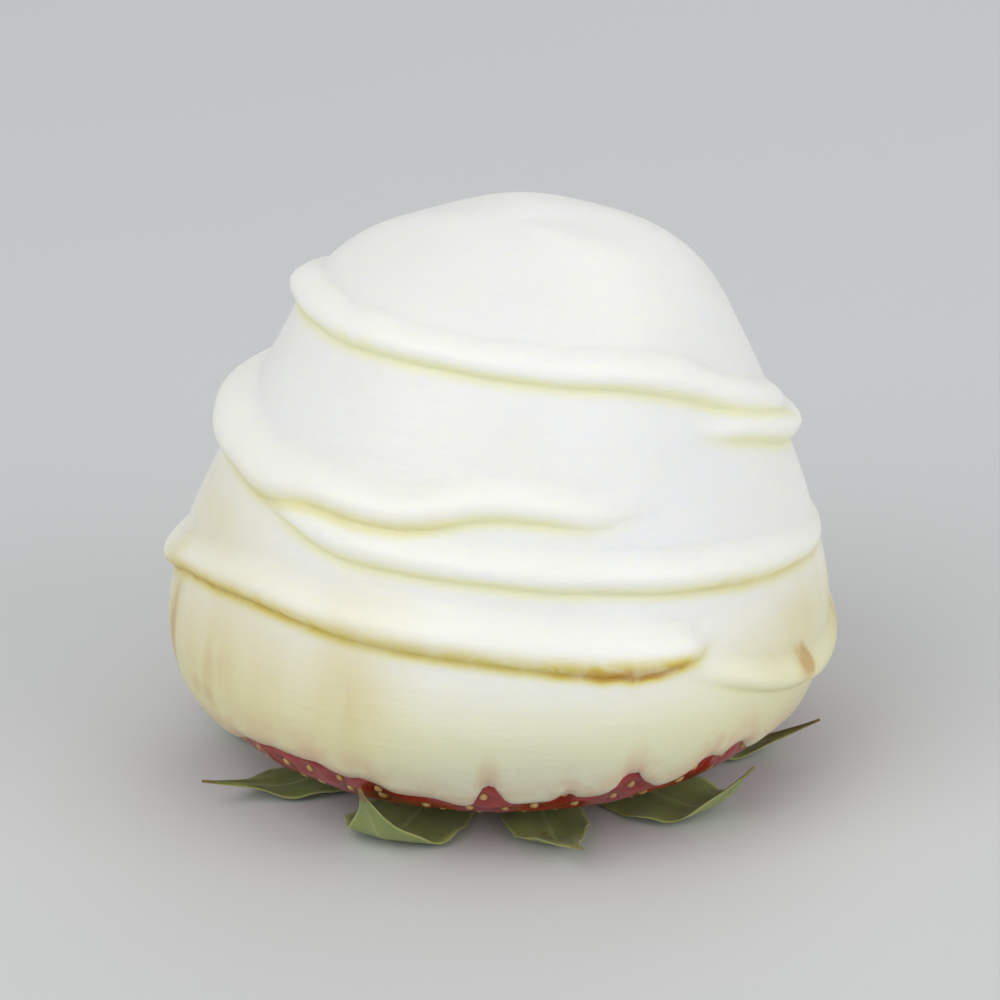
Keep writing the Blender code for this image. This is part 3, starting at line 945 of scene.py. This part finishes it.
def strawberry_skin():
    """Moist red skin, with painted shade darkening the dimples, and paler towards the stem."""
    n = Nodes("strawberry_skin")
    mottle = n.noise(330.0, 4.0)
    red = n.mix(n.band(mottle, 0.3, 0.7), (0.40, 0.022, 0.012), (0.26, 0.010, 0.008))
    # Painted shade: darker red in the dimples round the seeds
    dimple = n.mix(n.math("MULTIPLY", n.attribute("dimple"), 0.6), red, (0.15, 0.006, 0.005))
    edge = n.math("ADD", n.attribute("pale"), n.band(mottle, 0.2, 0.8, -0.25, 0.25))
    base = n.mix(n.band(edge, 0.55, 1.1), dimple, (0.62, 0.36, 0.22))
    bump = n.bump(n.noise(1500.0, 3.0), 0.0001, 0.5)
    return n.finish(
        Base_Color=base,
        Roughness=n.band(mottle, 0.2, 0.8, 0.20, 0.34),
        IOR=1.4,
        Subsurface_Weight=0.3,
        Subsurface_Radius=(1.0, 0.25, 0.12),
        Subsurface_Scale=0.0015,
        Coat_Weight=0.25,
        Coat_Roughness=0.12,
        Normal=bump,
    )


def seed_husk():
    """Straw-coloured seed with fine ridges."""
    n = Nodes("seed_husk")
    tone = n.noise(900.0, 3.0)
    base = n.mix(n.band(tone, 0.3, 0.7), (0.62, 0.42, 0.14), (0.44, 0.24, 0.07))
    bump = n.bump(n.noise(5000.0, 2.0), 0.00005, 0.5)
    return n.finish(Base_Color=base, Roughness=0.42, Normal=bump)


def leaf_green():
    """Olive green sepal with paler veins and edges, rusty specks and a dry tip."""
    n = Nodes("leaf_green")
    along = n.attribute("along")
    across = n.attribute("across")
    aside = n.math("ABSOLUTE", across)
    mottle = n.noise(380.0, 5.0)
    green = n.mix(n.attribute("tone"), (0.215, 0.285, 0.062), (0.150, 0.225, 0.045))
    green = n.mix(n.band(mottle, 0.35, 0.7), green, (0.28, 0.33, 0.085))
    midrib = n.band(aside, 0.02, 0.10, 1.0, 0.0)
    # Side veins leave the midrib and sweep towards the tip
    sweep = n.math("SUBTRACT", n.math("MULTIPLY", along, 34.0), n.math("MULTIPLY", aside, 17.0))
    sweep = n.math("ADD", sweep, n.math("MULTIPLY", mottle, 2.0))
    rib = n.math("ABSOLUTE", n.math("SUBTRACT", n.math("FRACT", sweep), 0.5))
    rib = n.band(rib, 0.06, 0.22, 1.0, 0.0)
    rib = n.math("MULTIPLY", rib, n.band(aside, 0.1, 0.9, 0.7, 0.2))
    vein = n.math("MAXIMUM", midrib, rib)
    veined = n.mix(n.math("MULTIPLY", vein, 0.55), green, (0.40, 0.46, 0.17))
    rim = n.mix(n.math("MULTIPLY", n.band(aside, 0.86, 1.0), 0.55), veined, (0.46, 0.46, 0.18))
    heart = n.mix(n.band(along, 0.0, 0.28, 0.8, 0.0), rim, (0.38, 0.45, 0.16))
    specks = n.band(n.noise(1150.0, 2.0), 0.66, 0.74)
    rusty = n.mix(n.math("MULTIPLY", specks, 0.7), heart, (0.26, 0.11, 0.03))
    tip = n.math("ADD", along, n.band(mottle, 0.3, 0.7, -0.05, 0.05))
    base = n.mix(n.band(tip, 0.92, 1.0, 0.0, 0.85), rusty, (0.24, 0.13, 0.045))
    bump = n.bump(vein, 0.00012, 0.6)
    bump = n.bump(n.noise(2600.0, 3.0), 0.00006, 0.5, bump)
    return n.finish(
        Base_Color=base,
        Roughness=n.band(mottle, 0.2, 0.8, 0.46, 0.62),
        IOR=1.42,
        Sheen_Weight=0.15,
        Subsurface_Weight=0.12,
        Subsurface_Radius=(0.5, 1.0, 0.2),
        Subsurface_Scale=0.0005,
        Normal=bump,
    )


def stem_cut():
    """Pale green stub, browned where it was cut."""
    n = Nodes("stem_cut")
    place = n.add("ShaderNodeTexCoord", "Object")
    split = n.add("ShaderNodeSeparateXYZ", 2, {0: place})
    fibre = n.noise(1500.0, 4.0)
    side = n.mix(n.band(fibre, 0.3, 0.7), (0.30, 0.38, 0.13), (0.22, 0.30, 0.08))
    cut = n.mix(n.band(fibre, 0.35, 0.65), (0.46, 0.40, 0.20), (0.30, 0.20, 0.08))
    base = n.mix(n.band(split, 0.00012, 0.00035), cut, side)
    return n.finish(Base_Color=base, Roughness=0.6, Normal=n.bump(fibre, 0.0001, 0.6))


# ---------------------------------------------------------------- stage

CAMERA_DISTANCE = 0.40
CAMERA_ELEVATION = math.radians(22)
CAMERA_LENS = 173.0
CAMERA_AIM = Vector((0.0, 0.0, 0.47 * CAD_BOX[1][2]))
FLOOR_SIZE = 4.0


def aim(thing, target):
    thing.rotation_euler = (target - thing.location).to_track_quat("-Z", "Y").to_euler()


def add_light(name, place, size, power, color=(1.0, 1.0, 1.0)):
    light = bpy.data.lights.new(name, "AREA")
    light.size = size
    light.energy = power
    light.color = color
    lamp = bpy.data.objects.new(name, light)
    lamp.location = place
    bpy.context.scene.collection.objects.link(lamp)
    aim(lamp, CAMERA_AIM)


def make_stage():
    """Pale floor, soft studio lights, pale world and the camera."""
    scene = bpy.context.scene
    mesh = bpy.data.meshes.new("floor")
    half = FLOOR_SIZE / 2
    corners = [(-half, -half, 0.0), (half, -half, 0.0), (half, half, 0.0), (-half, half, 0.0)]
    mesh.from_pydata(corners, [], [(0, 1, 2, 3)])
    n = Nodes("floor_paint")
    tone = n.mix(n.noise(6.0, 2.0), (0.60, 0.61, 0.62), (0.62, 0.63, 0.64))
    mesh.materials.append(n.finish(Base_Color=tone, Roughness=0.7))
    floor = bpy.data.objects.new("floor", mesh)
    scene.collection.objects.link(floor)

    add_light("key", (-0.40, -0.38, 0.50), 0.60, 2.4)
    add_light("fill", (0.55, -0.35, 0.30), 0.60, 1.9)
    add_light("back", (0.15, 0.60, 0.50), 0.50, 0.7)

    world = bpy.data.worlds.new("studio")
    world.use_nodes = True
    background = world.node_tree.nodes["Background"]
    background.inputs["Color"].default_value = (1.0, 1.0, 1.0, 1.0)
    background.inputs["Strength"].default_value = 0.52
    scene.world = world
    scene.view_settings.view_transform = "Standard"

    data = bpy.data.cameras.new("camera")
    data.lens = CAMERA_LENS
    camera = bpy.data.objects.new("camera", data)
    away = Vector((0.0, -math.cos(CAMERA_ELEVATION), math.sin(CAMERA_ELEVATION)))
    camera.location = CAMERA_AIM + away * CAMERA_DISTANCE
    scene.collection.objects.link(camera)
    aim(camera, CAMERA_AIM)
    scene.camera = camera


make_coat()
SEED_PLACES = seed_places()
make_fruit(SEED_PLACES)
make_seeds(SEED_PLACES)
make_sepals()
make_stem()
make_stage()
